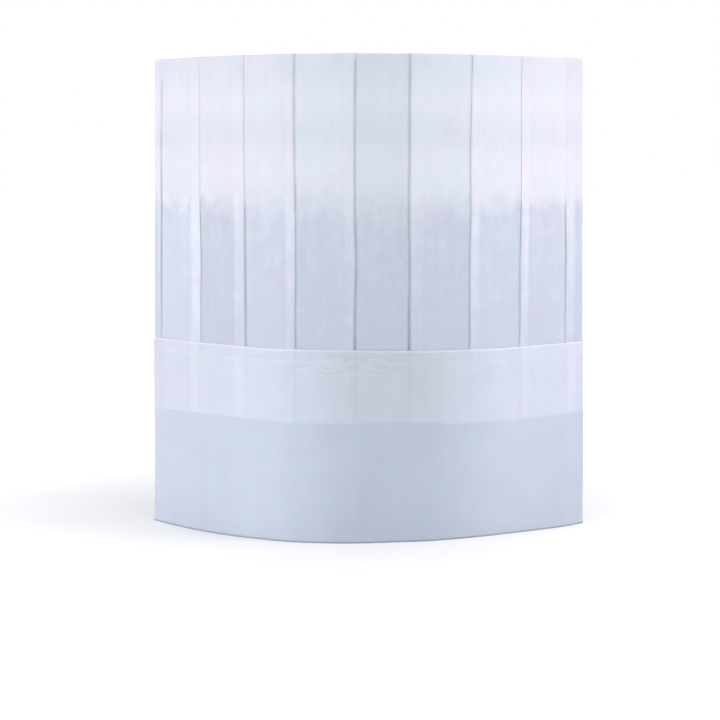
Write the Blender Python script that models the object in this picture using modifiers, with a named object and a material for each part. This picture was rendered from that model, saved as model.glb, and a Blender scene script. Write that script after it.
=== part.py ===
"""A baker's cap of thin pleated paper, standing open on its head band.

The cap is a tube of constant girth that was stored flat, so it keeps a crease at its left
and right and its plan is a lens of two arcs, rounder at the top than at the foot. Two
sheets make it: a crown of knife pleats, turned in over the rim and closed by a sunk seam,
and a plain band round the outside of its foot.

Metres, +Z up, the front faces -Y. The origin is under the middle of the cap, on the floor.
"""

import math
from collections import namedtuple

import bmesh
import bpy

# Driving dimensions
CAP_HEIGHT = 0.280
GIRTH = 0.584                # round the crown, the size of the head
FOOT_OPENING = 0.42          # depth over width of the lens, at the foot
RIM_OPENING = 0.49           # the same at the rim
FOOT_STRAIGHT = 0.004        # lowest stretch, which stands upright so that its edge lies flat
BAND_HEIGHT = 0.1127
CROWN_FOOT = 0.0698          # the crown's lower edge, hidden behind the band
WALL = 0.001                 # thickness of a sheet
CLEARANCE = 0.00035          # between two sheets that lie on each other

# The pleats
PLEAT_TUCK = 0.0058          # how far a fold runs back under itself
CREASE_TUCK = 0.0036         # the same where a side crease leaves less room
FOLD_EASE = 0.001            # flat stretch beside a fold before the panel slopes away

# The turned-in top
TURN_IN = 0.0048             # from the outside of the rim to the turned-in sheet
SEAM_DEPTH_SIDES = 0.078     # below the rim
SEAM_DEPTH_MIDDLE = 0.071
SEAM_WIDTH = 0.0018          # between the middles of the two sheets that meet there
SEAM_END_INSET = 0.010       # from the crown's crease to the end of the seam
RIM_OVERHANG = 0.0006        # the rim fold past the middle of the wall
RIM_BITE = 0.0003            # how far the wall runs up into the rim fold

# The band
BAND_LAP = 0.040             # overlap of its two ends, at the middle of the back
BAND_LAP_RAMP = 0.014        # stretch over which the outer end rises onto the inner one

# Fineness of the sheets
PANEL_STEP = 0.013           # longest piece of a pleated panel
SMOOTH_STEP = 0.0105         # longest piece of a plain sheet
CROWN_ROW_STEP = 0.030
BAND_ROW_STEP = 0.030
TOP_ROWS = 6

FACE_GIRTH = GIRTH / 2.0     # one face of the cap, from crease to crease
LEFT_CREASE = -FACE_GIRTH / 2.0
RIGHT_CREASE = FACE_GIRTH / 2.0
LAYER = WALL + CLEARANCE     # from the middle of one sheet to the middle of the next

# Each pleat's fold line is measured along the sheet from the middle of its face, + to the
# right of a reader in front of the cap. Every fold points to the middle of the front.
Pleat = namedtuple("Pleat", "face across tuck")
PLEATS = (
    Pleat("front", -0.1389, CREASE_TUCK),
    Pleat("front", -0.1033, PLEAT_TUCK),
    Pleat("front", -0.0711, PLEAT_TUCK),
    Pleat("front", -0.0396, PLEAT_TUCK),
    Pleat("front", -0.0048, PLEAT_TUCK),
    Pleat("front", 0.0251, PLEAT_TUCK),
    Pleat("front", 0.0610, PLEAT_TUCK),
    Pleat("front", 0.0941, PLEAT_TUCK),
    Pleat("front", 0.1298, PLEAT_TUCK),
    Pleat("back", 0.1315, PLEAT_TUCK),
    Pleat("back", 0.0965, PLEAT_TUCK),
    Pleat("back", 0.0615, PLEAT_TUCK),
    Pleat("back", 0.0265, PLEAT_TUCK),
    Pleat("back", -0.0175, PLEAT_TUCK),
    Pleat("back", -0.0525, PLEAT_TUCK),
    Pleat("back", -0.0875, PLEAT_TUCK),
    Pleat("back", -0.1225, PLEAT_TUCK),
)

# Looks
PLEATED_COLOUR = (0.80, 0.82, 0.88, 1.0)
BAND_COLOUR = (0.75, 0.77, 0.83, 1.0)
PAPER_ROUGHNESS = 0.85
SHARP_ANGLE = math.radians(30.0)


def mix(start, end, share):
    """The value a share of the way from start to end."""
    return start + (end - start) * share


def places_between(start, end, longest):
    """Evenly spaced values from start to end, no further apart than longest."""
    count = max(1, math.ceil((end - start) / longest))
    return [mix(start, end, i / count) for i in range(count + 1)]


def lens(z):
    """Radius of the two arcs at height z, and how far behind its arc each centre lies."""
    share = max(0.0, z - FOOT_STRAIGHT) / (CAP_HEIGHT - FOOT_STRAIGHT)
    opening = mix(FOOT_OPENING, RIM_OPENING, share)
    half_angle = 2.0 * math.atan(opening)
    radius = FACE_GIRTH / (2.0 * half_angle)
    return radius, radius * math.cos(half_angle)


def crease_reach(z, depth):
    """How far out a sheet has its creases when it lies depth inside the cap's surface."""
    radius, centre = lens(z)
    return math.sqrt((radius - depth) ** 2 - centre ** 2)


def sheet_point(z, along, depth):
    """A point at a girth position, 0 at the middle of the front and growing to the right."""
    along = (along + FACE_GIRTH / 2.0) % GIRTH - FACE_GIRTH / 2.0
    if math.isclose(along, RIGHT_CREASE):
        return (crease_reach(z, depth), 0.0, z)
    if math.isclose(along, LEFT_CREASE) or math.isclose(along, LEFT_CREASE + GIRTH):
        return (-crease_reach(z, depth), 0.0, z)
    radius, centre = lens(z)
    if along < RIGHT_CREASE:
        angle = along / radius
        facing = 1.0
    else:
        angle = (along - FACE_GIRTH) / radius
        facing = -1.0
    reach = radius - depth
    return (facing * reach * math.sin(angle), facing * (centre - reach * math.cos(angle)), z)


def girth_position(face, across):
    """Girth position of a place measured across one face."""
    return across if face == "front" else FACE_GIRTH - across


def folds_forward(pleat):
    """Whether the fold is met on the way towards the middle of the front, as at the left."""
    return pleat.across < 0.0


def new_object(name, mesh, collection):
    """An object for the mesh, in the collection."""
    item = bpy.data.objects.new(name, mesh)
    collection.objects.link(item)
    return item


def grid_mesh(name, rows, closed):
    """A mesh of quads between rows of points; closed joins each row's end to its start."""
    build = bmesh.new()
    grid = [[build.verts.new(point) for point in row] for row in rows]
    count = len(grid[0])
    for low, high in zip(grid, grid[1:]):
        for i in range(count if closed else count - 1):
            j = (i + 1) % count
            build.faces.new((low[i], low[j], high[j], high[i]))
    mesh = bpy.data.meshes.new(name)
    build.to_mesh(mesh)
    build.free()
    return mesh


def add_thickness(item):
    """Give an open sheet its thickness, half to each side."""
    solid = item.modifiers.new("Sheet thickness", "SOLIDIFY")
    solid.thickness = WALL
    solid.offset = 0.0
    solid.use_even_offset = True
    solid.use_quality_normals = True


def crown_section():
    """One turn of the pleated wall as (girth position, depth) pairs, in the sheet's order.

    A left-hand pleat is met going forward along the girth: the sheet runs out to its fold
    line on top, back under itself, and forward again as the start of the next panel. A
    right-hand pleat is the same thing met the other way round.
    """
    ordered = sorted(PLEATS, key=lambda pleat: girth_position(pleat.face, pleat.across))
    section = []
    for i, pleat in enumerate(ordered):
        line = girth_position(pleat.face, pleat.across)
        back = line - pleat.tuck if folds_forward(pleat) else line + pleat.tuck
        fold = [(line, 0.0), (line, LAYER), (back, LAYER), (back, 2.0 * LAYER)]
        section += fold if folds_forward(pleat) else fold[::-1]
        following = ordered[(i + 1) % len(ordered)]
        end_line = girth_position(following.face, following.across)
        if end_line < line:
            end_line += GIRTH
        section += panel_section(pleat, line, following, end_line)
    return section


def panel_section(pleat, line, following, end_line):
    """The sheet between two pleats, flat by each fold and sloping where it has to."""
    if folds_forward(pleat):
        start = line + FOLD_EASE
        start_depth = 2.0 * LAYER
    else:
        start = line + pleat.tuck + FOLD_EASE
        start_depth = 0.0
    if folds_forward(following):
        end = end_line - following.tuck - FOLD_EASE
        end_depth = 0.0
    else:
        end = end_line - FOLD_EASE
        end_depth = 2.0 * LAYER
    places = places_between(start, end, PANEL_STEP)
    places += [s for s in (RIGHT_CREASE, LEFT_CREASE + GIRTH) if start < s < end]
    slope = (end_depth - start_depth) / (end - start)
    return [(s, start_depth + slope * (s - start)) for s in sorted(places)]


def make_crown_wall(collection):
    """The pleated wall, from its hidden foot up into the rim fold."""
    section = crown_section()
    top = CAP_HEIGHT - WALL + RIM_BITE
    heights = places_between(CROWN_FOOT, top, CROWN_ROW_STEP)
    rows = [[sheet_point(z, along, depth) for along, depth in section] for z in heights]
    wall = new_object("pleated_crown", grid_mesh("pleated_crown", rows, True), collection)
    add_thickness(wall)
    return wall


def make_crown_top(collection):
    """The fold over the rim and the two sheets that slope down to the sunk seam."""
    rim_z = CAP_HEIGHT - WALL / 2.0
    front = places_between(LEFT_CREASE, RIGHT_CREASE, SMOOTH_STEP)
    seam_reach = crease_reach(CAP_HEIGHT - SEAM_DEPTH_SIDES, TURN_IN) - SEAM_END_INSET

    def ring(front_points):
        """The places of the front left to right, then those of the back, mirrored."""
        return front_points + [(x, -y, z) for x, y, z in reversed(front_points[1:-1])]

    def slope_point(s, share):
        """A place on the sloping sheet; its two ends stay on the creases' plane."""
        x, y, z = sheet_point(rim_z, s, TURN_IN)
        towards_end = min(1.0, max(-1.0, s / front[-2]))
        seam_z = CAP_HEIGHT - mix(SEAM_DEPTH_MIDDLE, SEAM_DEPTH_SIDES, towards_end ** 2)
        seam_y = 0.0 if s in (front[0], front[-1]) else -SEAM_WIDTH / 2.0
        return (mix(x, seam_reach * towards_end, share), mix(y, seam_y, share),
                mix(z, seam_z, share))

    rows = [ring([sheet_point(rim_z, s, depth) for s in front])
            for depth in (-RIM_OVERHANG, TURN_IN)]
    for i in range(1, TOP_ROWS + 1):
        rows.append(ring([slope_point(s, i / TOP_ROWS) for s in front]))
    mesh = grid_mesh("crown_top", rows, True)
    close_seam(mesh, len(front), len(rows) - 1)
    top = new_object("crown_top", mesh, collection)
    add_thickness(top)
    top.hide_render = True
    top.display_type = "WIRE"
    return top


def close_seam(mesh, front_count, last_row):
    """Join the front and back of the lowest row by the narrow floor of the seam."""
    build = bmesh.new()
    build.from_mesh(mesh)
    build.verts.ensure_lookup_table()
    ring_count = 2 * front_count - 2
    lowest = build.verts[last_row * ring_count:(last_row + 1) * ring_count]
    for i in range(front_count - 1):
        corners = [lowest[i], lowest[i + 1], lowest[-i - 1], lowest[-i]]
        build.faces.new(list(dict.fromkeys(corners)))
    bmesh.ops.recalc_face_normals(build, faces=build.faces)
    build.to_mesh(mesh)
    build.free()


def make_band(collection):
    """The plain strip round the foot, its outer end lapped over the inner one."""
    start = FACE_GIRTH - BAND_LAP / 2.0
    lap_start = start + GIRTH
    ramp_start = lap_start - BAND_LAP_RAMP
    marks = (start, LEFT_CREASE + GIRTH, RIGHT_CREASE + GIRTH, ramp_start, lap_start,
             lap_start + BAND_LAP)
    places = [start]
    for low, high in zip(marks, marks[1:]):
        places += places_between(low, high, SMOOTH_STEP)[1:]

    def depth(s):
        """Just outside the crown, and one layer further out along the lap."""
        share = min(1.0, max(0.0, (s - ramp_start) / BAND_LAP_RAMP))
        return -LAYER * (1.0 + share)

    heights = [0.0] + places_between(FOOT_STRAIGHT, BAND_HEIGHT, BAND_ROW_STEP)
    rows = [[sheet_point(z, s, depth(s)) for s in places] for z in heights]
    band = new_object("head_band", grid_mesh("head_band", rows, False), collection)
    add_thickness(band)
    return band


def paper(name, colour):
    """Matt white non-woven paper with a faint cold tint."""
    material = bpy.data.materials.new(name)
    material.use_nodes = True
    surface = material.node_tree.nodes["Principled BSDF"]
    surface.inputs["Base Color"].default_value = colour
    surface.inputs["Roughness"].default_value = PAPER_ROUGHNESS
    surface.inputs["Metallic"].default_value = 0.0
    return material


def new_collection(name):
    """A collection of the scene."""
    collection = bpy.data.collections.new(name)
    bpy.context.scene.collection.children.link(collection)
    return collection


def main():
    for item in list(bpy.data.objects):
        bpy.data.objects.remove(item, do_unlink=True)
    parts = new_collection("Baker cap")
    helpers = new_collection("Cutters")

    crown = make_crown_wall(parts)
    top = make_crown_top(helpers)
    join = crown.modifiers.new("Turned-in top", "BOOLEAN")
    join.operation = "UNION"
    join.solver = "EXACT"
    join.object = top
    crown.data.materials.append(paper("Pleated paper", PLEATED_COLOUR))

    band = make_band(parts)
    band.data.materials.append(paper("Band paper", BAND_COLOUR))

    for item in (crown, band):
        item.data.shade_smooth()
        item.data.set_sharp_from_angle(angle=SHARP_ANGLE)


main()
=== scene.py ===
# %% [markdown]
# # A pleated paper baker's cap
#
# This lesson dresses a baker's cap in Blender. The real cap is two sheets of thin
# non-woven paper: a crown pressed into knife pleats, and a plain band round its foot. It
# was stored flat, so when it stands open its plan is a lens with a crease at each side.
#
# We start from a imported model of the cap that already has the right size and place. Every
# sheet built here replaces one of its solids and stays inside its box.

import math
from collections import namedtuple

import bpy
import numpy as np
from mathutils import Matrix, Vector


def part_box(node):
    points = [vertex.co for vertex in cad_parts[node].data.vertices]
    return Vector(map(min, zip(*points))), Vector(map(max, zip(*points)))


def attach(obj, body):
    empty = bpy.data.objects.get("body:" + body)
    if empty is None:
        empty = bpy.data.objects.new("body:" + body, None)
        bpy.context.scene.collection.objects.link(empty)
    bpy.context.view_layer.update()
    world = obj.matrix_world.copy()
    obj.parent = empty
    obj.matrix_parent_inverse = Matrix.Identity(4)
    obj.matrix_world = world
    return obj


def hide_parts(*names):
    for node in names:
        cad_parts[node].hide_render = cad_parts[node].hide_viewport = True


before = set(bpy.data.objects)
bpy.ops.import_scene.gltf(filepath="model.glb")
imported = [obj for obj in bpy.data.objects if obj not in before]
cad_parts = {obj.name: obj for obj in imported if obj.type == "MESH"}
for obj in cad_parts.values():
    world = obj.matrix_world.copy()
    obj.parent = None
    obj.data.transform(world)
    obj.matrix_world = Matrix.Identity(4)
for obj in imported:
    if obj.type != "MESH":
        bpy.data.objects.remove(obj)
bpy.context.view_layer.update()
print("solids:", sorted(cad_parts))

# %% [markdown]
# ## Sizes
#
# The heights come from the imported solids, so the sheets follow them. The girth and the
# two openings are the ones that the solids were drawn from: they say how far the flat
# tube has been pushed open, at the foot and at the rim.

# %% Driving sizes, in metres
MM = 0.001
CROWN_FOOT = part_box("pleated_crown")[0][2]
CAP_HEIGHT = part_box("pleated_crown")[1][2]
BAND_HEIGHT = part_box("head_band")[1][2]
GIRTH = 584 * MM
FACE = GIRTH / 2
FOOT_OPENING = 0.42
RIM_OPENING = 0.49
FOOT_STRAIGHT = 4 * MM
print(f"cap {CAP_HEIGHT / MM:.0f} mm high, band {BAND_HEIGHT / MM:.0f} mm")

# %% [markdown]
# ## The opened tube
#
# A tube that was folded flat and is pushed open keeps its girth, whatever its shape. We
# could lay curves round it and loft between them, but each would need its length checked.
# Two equal arcs that meet at the creases have the right girth by themselves, so one small
# function gives their radius at any height.


# %% The radius of the tube at each height
def mix(start, end, share):
    """The value a share of the way from start to end."""
    return start + (end - start) * share


def lens(z):
    """Radius of the two arcs at height z, and how far behind its arc each centre lies."""
    share = np.clip(z - FOOT_STRAIGHT, 0, None) / (CAP_HEIGHT - FOOT_STRAIGHT)
    half_angle = 2 * np.arctan(mix(FOOT_OPENING, RIM_OPENING, share))
    radius = FACE / (2 * half_angle)
    return radius, radius * np.cos(half_angle)


print(f"the arcs' radius is {lens(0.0)[0] / MM:.0f} mm at the foot, "
      f"{lens(CAP_HEIGHT)[0] / MM:.0f} mm at the rim")

# %% [markdown]
# Real paper is never a perfect arc. A short table says how far the front is pushed out or
# falls in at its foot. The push fades on the way up, and dies out round the back.

# %% How far the front is pushed out at its foot
Push = namedtuple("Push", "across out")
FOOT_PUSH = (
    Push(-190 * MM, 0.0 * MM),
    Push(-146 * MM, 3.0 * MM),
    Push(-120 * MM, 3.6 * MM),
    Push(-90 * MM, 4.6 * MM),
    Push(-62 * MM, 5.2 * MM),
    Push(-46 * MM, 6.2 * MM),
    Push(-20 * MM, 4.6 * MM),
    Push(2 * MM, 2.4 * MM),
    Push(18 * MM, 0.3 * MM),
    Push(38 * MM, 0.1 * MM),
    Push(60 * MM, -2.2 * MM),
    Push(92 * MM, -3.5 * MM),
    Push(112 * MM, -1.6 * MM),
    Push(130 * MM, 1.4 * MM),
    Push(146 * MM, 2.0 * MM),
    Push(190 * MM, 0.0 * MM),
)
RIM_PUSH = 0.35
PUSH_END = 200 * MM
PUSH_PLACES = 401
PUSH_SMOOTHING = 15


def read_table(table, column, place):
    """One column of a table, read between its rows; the first column says where a row is."""
    return np.interp(place, [row[0] for row in table], [getattr(row, column) for row in table])


push_fine = np.linspace(-PUSH_END, PUSH_END, PUSH_PLACES)
window = np.hanning(PUSH_SMOOTHING)
push_smooth = np.convolve(read_table(FOOT_PUSH, "out", push_fine), window / window.sum(),
                          mode="same")
print(f"the foot is pushed out by {push_smooth.min() / MM:.1f} to "
      f"{push_smooth.max() / MM:.1f} mm")

# %% [markdown]
# Each place on the paper is told by how far round the tube it lies, how high, and how deep
# under the outer surface. The creases are pressed sharp, so there the paper stands out a
# little further than the arcs do.

# %% A place on the tube
CREASE_ROUNDING = 1.0 * MM
WIDER_LEFT = 0.5 * MM
WIDER_RIGHT = 1.2 * MM
WIDER_POWER = 24


def on_arcs(s, z, depth):
    """Points at girth position s, 0 at the middle of the front and growing to the right."""
    radius, centre = lens(z)
    reach = radius - depth
    turn = (s + FACE / 2) % GIRTH - FACE / 2
    is_back = turn > FACE / 2
    share = np.where(is_back, turn - FACE, turn) / (FACE / 2)
    angle = share * np.arccos(centre / reach)
    side = np.where(is_back, -1.0, 1.0)
    nearest = np.where(turn > FACE, turn - GIRTH, turn)
    push = np.interp(nearest, push_fine, push_smooth) * mix(1.0, RIM_PUSH, z / CAP_HEIGHT)
    x = side * reach * np.sin(angle)
    x = x + np.where(x > 0, WIDER_RIGHT, -WIDER_LEFT) * np.abs(share) ** WIDER_POWER
    y = side * (centre - reach * np.cos(angle)) - push
    return np.stack(np.broadcast_arrays(x, y, z), axis=-1)


def on_tube(s, z, depth):
    """The same, with the creases a little rounded."""
    around = [on_arcs(s + shift * CREASE_ROUNDING, z, depth) for shift in (-1, 0, 1)]
    return sum(around) / len(around)


def outward(s, z):
    """The direction away from the tube, level."""
    away = on_tube(s, z, 0.0) - on_tube(s, z, 1.0 * MM)
    return away / np.linalg.norm(away, axis=-1, keepdims=True)


def face_share(s):
    """Place across one face, from -1 at the left crease to 1 at the right one."""
    turn = (s + FACE / 2) % GIRTH - FACE / 2
    return np.where(turn > FACE / 2, FACE - turn, turn) / (FACE / 2)


creases = on_tube(np.array([-FACE / 2, FACE / 2]), CAP_HEIGHT, 0.0)
print(f"from crease to crease at the rim: {np.ptp(creases[:, 0]) / MM:.0f} mm")

# %% [markdown]
# Paper also waves without a plan. Blender's Python noise is asked for one point at a time,
# but the sheets here are worked out as whole arrays, so we use a small noise of our own.
# Its seed is a number that we pass, and so the cap comes out the same on each run.

# %% Soft unevenness
LATTICE = 64


def soft_noise(x, y, seed):
    """Smooth values from -1 to 1 that change over about one unit of x and of y."""
    lattice = np.random.default_rng(seed).uniform(-1, 1, (LATTICE, LATTICE))
    column = np.floor(x).astype(int)
    row = np.floor(y).astype(int)
    across = x - column
    up = y - row
    across = across * across * (3 - 2 * across)
    up = up * up * (3 - 2 * up)
    column = column % LATTICE
    row = row % LATTICE
    next_column = (column + 1) % LATTICE
    next_row = (row + 1) % LATTICE
    low = mix(lattice[column, row], lattice[next_column, row], across)
    high = mix(lattice[column, next_row], lattice[next_column, next_row], across)
    return mix(low, high, up)


def smooth_step(low, high, value):
    """0 below low, 1 above high and a smooth rise between them."""
    share = np.clip((value - low) / (high - low), 0, 1)
    return share * share * (3 - 2 * share)


sample = soft_noise(np.linspace(0, LATTICE, 1000), np.zeros(1000), seed=1)
print(f"noise runs from {sample.min():.2f} to {sample.max():.2f}")

# %% [markdown]
# ## The pleats
#
# A knife pleat is three layers of paper: the panel runs out to its fold line on top, turns
# back under itself, and turns again to run on as the next panel. Here every fold points to
# the middle of the front, so the middle panel lies lowest. The spacing is uneven, as it is
# on the real cap.
#
# We could lift the fold lines with bump alone, but the light strips beside them are real
# layers, and they show at the rim and through the band. So each pleat is folded in
# geometry, and a table has one row for each.
#
# - across: from the middle of its face to the fold line
# - tuck: how far the paper runs back under the fold
# - line_above, line_below: how dark the line is, above and below the turned-in sheet's edge
# - line_starts: how far under the rim the line begins
# - strip: how bright the strip beside the line is
# - tone_above, tone_below: how bright the next panel is painted, as light and shade, anticlockwise
#   from above
# - cool: the next panel's painted tint, from 0, lavender, to 1, cyan

# %% The table of pleats
Pleat = namedtuple(
    "Pleat",
    "face across tuck line_above line_below line_starts strip tone_above tone_below cool",
)
PLEATS = (
    Pleat("front", -138.6 * MM, 3.6 * MM, 0.24, 0.26, 18 * MM, 0.6, 0.975, 1.048, 0.33),
    Pleat("front", -103.8 * MM, 7.8 * MM, 0.02, 0.08, 12 * MM, 1.0, 0.989, 0.975, 0.38),
    Pleat("front", -71.5 * MM, 7.0 * MM, 0.08, 0.27, 5 * MM, 1.0, 1.018, 1.050, 0.46),
    Pleat("front", -40.2 * MM, 6.2 * MM, 0.22, 0.17, 0 * MM, 0.7, 1.015, 1.012, 0.74),
    Pleat("front", -5.4 * MM, 6.6 * MM, 0.25, 0.28, 5 * MM, 0.6, 0.958, 0.971, 0.84),
    Pleat("front", 25.7 * MM, 7.0 * MM, 0.23, 0.30, 0 * MM, 0.6, 1.020, 0.995, 0.62),
    Pleat("front", 61.8 * MM, 6.1 * MM, 0.12, 0.12, 0 * MM, 0.7, 1.050, 1.058, 0.48),
    Pleat("front", 95.0 * MM, 7.0 * MM, 0.00, 0.18, 4 * MM, 1.0, 1.022, 1.035, 0.22),
    Pleat("front", 130.8 * MM, 7.6 * MM, 0.02, 0.16, 40 * MM, 1.0, 0.955, 0.955, 0.22),
    Pleat("back", 131.5 * MM, 5.8 * MM, 0.05, 0.15, 20 * MM, 0.8, 1.000, 1.000, 0.40),
    Pleat("back", 96.5 * MM, 5.8 * MM, 0.10, 0.20, 6 * MM, 0.8, 1.010, 1.010, 0.60),
    Pleat("back", 61.5 * MM, 6.2 * MM, 0.15, 0.25, 3 * MM, 0.8, 1.000, 0.990, 0.40),
    Pleat("back", 26.5 * MM, 6.6 * MM, 0.20, 0.28, 0 * MM, 0.7, 0.980, 0.990, 0.70),
    Pleat("back", -17.5 * MM, 6.6 * MM, 0.20, 0.28, 0 * MM, 0.7, 1.000, 1.010, 0.50),
    Pleat("back", -52.5 * MM, 6.2 * MM, 0.15, 0.25, 4 * MM, 0.8, 1.010, 1.000, 0.40),
    Pleat("back", -87.5 * MM, 5.8 * MM, 0.10, 0.20, 8 * MM, 0.8, 1.000, 1.010, 0.60),
    Pleat("back", -122.5 * MM, 5.8 * MM, 0.05, 0.15, 15 * MM, 0.8, 0.990, 1.000, 0.40),
)


def fold_place(pleat):
    """Girth position of a pleat's fold line."""
    return pleat.across if pleat.face == "front" else FACE - pleat.across


def column_of(rows, name):
    """One column of a list of rows, as an array."""
    return np.array([getattr(row, name) for row in rows])


ORDERED = sorted(PLEATS, key=fold_place)
LINES = np.array([fold_place(pleat) for pleat in ORDERED])
FORWARD = column_of(ORDERED, "across") < 0
LINE_ABOVE = column_of(ORDERED, "line_above")
LINE_BELOW = column_of(ORDERED, "line_below")
LINE_STARTS = column_of(ORDERED, "line_starts")
print(len(ORDERED), "pleats,", FORWARD.sum(), "of them on the left")

# %% [markdown]
# The folded sheet is described once round as a list of columns. A column belongs to one
# pleat, or to the panel between two. It keeps the layer it lies in (0 on top, 2 at the
# bottom) and how far it bulges round a turn, both in units of the gap between layers,
# because that gap changes up the cap.

# %% The hidden part of a pleat
Column = namedtuple("Column", "s first second share layer turn strip shadow")
TUCK_STEP = 2.0 * MM
TURN_POINTS = 3


def fold_columns(i):
    """The hidden part of pleat i: a turn, the middle layer, a second turn, the low layer."""
    pleat = ORDERED[i]
    back = LINES[i] - pleat.tuck if FORWARD[i] else LINES[i] + pleat.tuck
    away = 1 if FORWARD[i] else -1
    steps = max(2, round(pleat.tuck / TUCK_STEP))

    def hidden(s, layer, turn):
        return Column(s, i, i, 0.0, layer, turn, 1.0, 1.0)

    columns = []
    for k in range(1, TURN_POINTS + 1):
        angle = math.pi * k / (TURN_POINTS + 1)
        columns.append(hidden(LINES[i], (1 - math.cos(angle)) / 2, away * math.sin(angle)))
    columns += [hidden(mix(LINES[i], back, k / steps), 1.0, 0.0) for k in range(steps + 1)]
    for k in range(1, TURN_POINTS + 1):
        angle = math.pi * k / (TURN_POINTS + 1)
        columns.append(hidden(back, 1 + (1 - math.cos(angle)) / 2, -away * math.sin(angle)))
    columns += [hidden(mix(back, LINES[i], k / steps), 2.0, 0.0) for k in range(steps)]
    return columns if FORWARD[i] else columns[::-1]


print(len(fold_columns(0)), "columns in the first fold")

# %% [markdown]
# The panel between two pleats starts on the layer where one fold leaves it and ends on the
# layer where the next one takes it. Columns lie closer beside a fold line, because the
# line is drawn by a value at each column, and it is under a millimetre wide.

# %% The visible panel between two pleats
PANEL_STEP = 2.4 * MM
LINE_WIDTH = 0.95 * MM
NEAR_LINE = (0.2 * MM, 0.5 * MM, 0.9 * MM, 1.4 * MM, 2.1 * MM)
STRIP_BLUR = 3.0 * MM


def panel_columns(i):
    """The visible panel from pleat i to the next one."""
    j = (i + 1) % len(ORDERED)
    start = LINES[i]
    end = LINES[j] if LINES[j] > start else LINES[j] + GIRTH
    count = math.ceil((end - start) / PANEL_STEP)
    places = [mix(start, end, k / count) for k in range(count + 1)]
    start_layer = 2.0 if FORWARD[i] else 0.0
    end_layer = 0.0 if FORWARD[j] else 2.0
    edges = []
    if start_layer == 0.0:
        edges.append(start + ORDERED[i].tuck)
    if end_layer == 0.0:
        edges.append(end - ORDERED[j].tuck)
    for edge in edges:
        places += [edge - STRIP_BLUR / 2, edge + STRIP_BLUR / 2]
    places = [s for s in places if start + NEAR_LINE[-1] < s < end - NEAR_LINE[-1]]
    places += [start] + [start + step for step in NEAR_LINE]
    places += [end] + [end - step for step in NEAR_LINE]
    crease = [s for s in (FACE / 2, 1.5 * FACE) if start < s < end]
    columns = []
    for s in sorted(set(places + crease)):
        share = (s - start) / (end - start)
        strip = 0.0
        if start_layer == 0.0 and s < edges[0]:
            strip = ORDERED[i].strip
        if end_layer == 0.0 and s > edges[-1]:
            strip = ORDERED[j].strip
        shadow = math.exp(-(min(s - start, end - s) / LINE_WIDTH) ** 2)
        layer = mix(start_layer, end_layer, share)
        columns.append(Column(s, i, j, share, layer, 0.0, strip, shadow))
    return columns


print(len(panel_columns(0)), "columns in the first panel")

# %% The columns of the sheet, once round
CREASE_REACH = 12 * MM

columns = []
for i in range(len(ORDERED)):
    columns += fold_columns(i) + panel_columns(i)
COL_S = column_of(columns, "s")
COL_FIRST = column_of(columns, "first")
COL_SECOND = column_of(columns, "second")
COL_SHARE = column_of(columns, "share")
COL_LAYER = column_of(columns, "layer")
COL_TURN = column_of(columns, "turn")
COL_STRIP = column_of(columns, "strip")
COL_SHADOW = column_of(columns, "shadow")
COL_HIDDEN = COL_FIRST == COL_SECOND
COL_NEAREST = np.where(COL_SHARE < 0.5, COL_FIRST, COL_SECOND)


def panel_at(s):
    """Number of the panel at each place, and how far across that panel it lies."""
    ends = np.append(LINES, LINES[0] + GIRTH)
    place = (s - LINES[0]) % GIRTH + LINES[0]
    panel = np.searchsorted(ends, place, side="right") - 1
    return panel, (place - ends[panel]) / (ends[panel + 1] - ends[panel])


COL_PANEL, panel_share = panel_at(COL_S)
from_crease = (1 - np.abs(face_share(COL_S))) * FACE / 2
COL_CREASE = np.exp(-(from_crease / CREASE_REACH) ** 2)
COL_HOLLOW = np.sin(np.pi * panel_share) * (1 - COL_CREASE)
print(len(columns), "columns")

# %% [markdown]
# ## From columns to a folded sheet
#
# Going up the wall, each fold line wanders by a fraction of a millimetre, the layers press
# together or spring apart, and the fold's edge lifts off the panel under it. Those three
# small things make the difference between paper and a machined fin. Where the band or the
# rim holds the paper, and behind the turned-in sheet, the folds are pressed flatter.

# %% How the folds change up the cap
VEIL_EDGE = 195.5 * MM     # the turned-in sheet reaches down the inside of the wall to here
VEIL_BLUR = 8 * MM
LAYER_GAP = 0.11 * MM
GAP_CHANGE = 0.04 * MM
LINE_WANDER = 0.45 * MM
PRESSED_FROM = 40 * MM
PRESSED_MOST = 0.85
EDGE_LIFT = 0.06 * MM
LIFT_STEADY = 0.55
FREE_BELOW = 5 * MM
FREE_ABOVE = 25 * MM
RIM_HOLDS_FROM = 40 * MM
RIM_HOLDS_FULLY = 6 * MM
FOLD_CHANGES_OVER = 55 * MM
UNLIKE_NEIGHBOUR = 3.7     # steps this long in the noise make neighbouring folds differ


def fold_state(z):
    """Gap, wander and lift of each fold at height z."""
    height = np.full(len(ORDERED), z / FOLD_CHANGES_OVER)
    number = np.arange(len(ORDERED)) * UNLIKE_NEIGHBOUR
    pressed = np.clip(LINE_STARTS / PRESSED_FROM, 0, PRESSED_MOST)
    looser = 1 - pressed * smooth_step(VEIL_EDGE - VEIL_BLUR, VEIL_EDGE + VEIL_BLUR, z)
    gap = LAYER_GAP + GAP_CHANGE * soft_noise(number, height * 1.3, seed=11)
    wander = LINE_WANDER * soft_noise(number, height * 1.7, seed=12)
    free = smooth_step(BAND_HEIGHT - FREE_BELOW, BAND_HEIGHT + FREE_ABOVE, z)
    free = free * (1 - smooth_step(CAP_HEIGHT - RIM_HOLDS_FROM, CAP_HEIGHT - RIM_HOLDS_FULLY, z))
    uneven = (1 - LIFT_STEADY) * soft_noise(number, height * 1.5, seed=13)
    lift = EDGE_LIFT * free * looser * (LIFT_STEADY + uneven)
    return gap * looser, wander, lift


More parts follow.
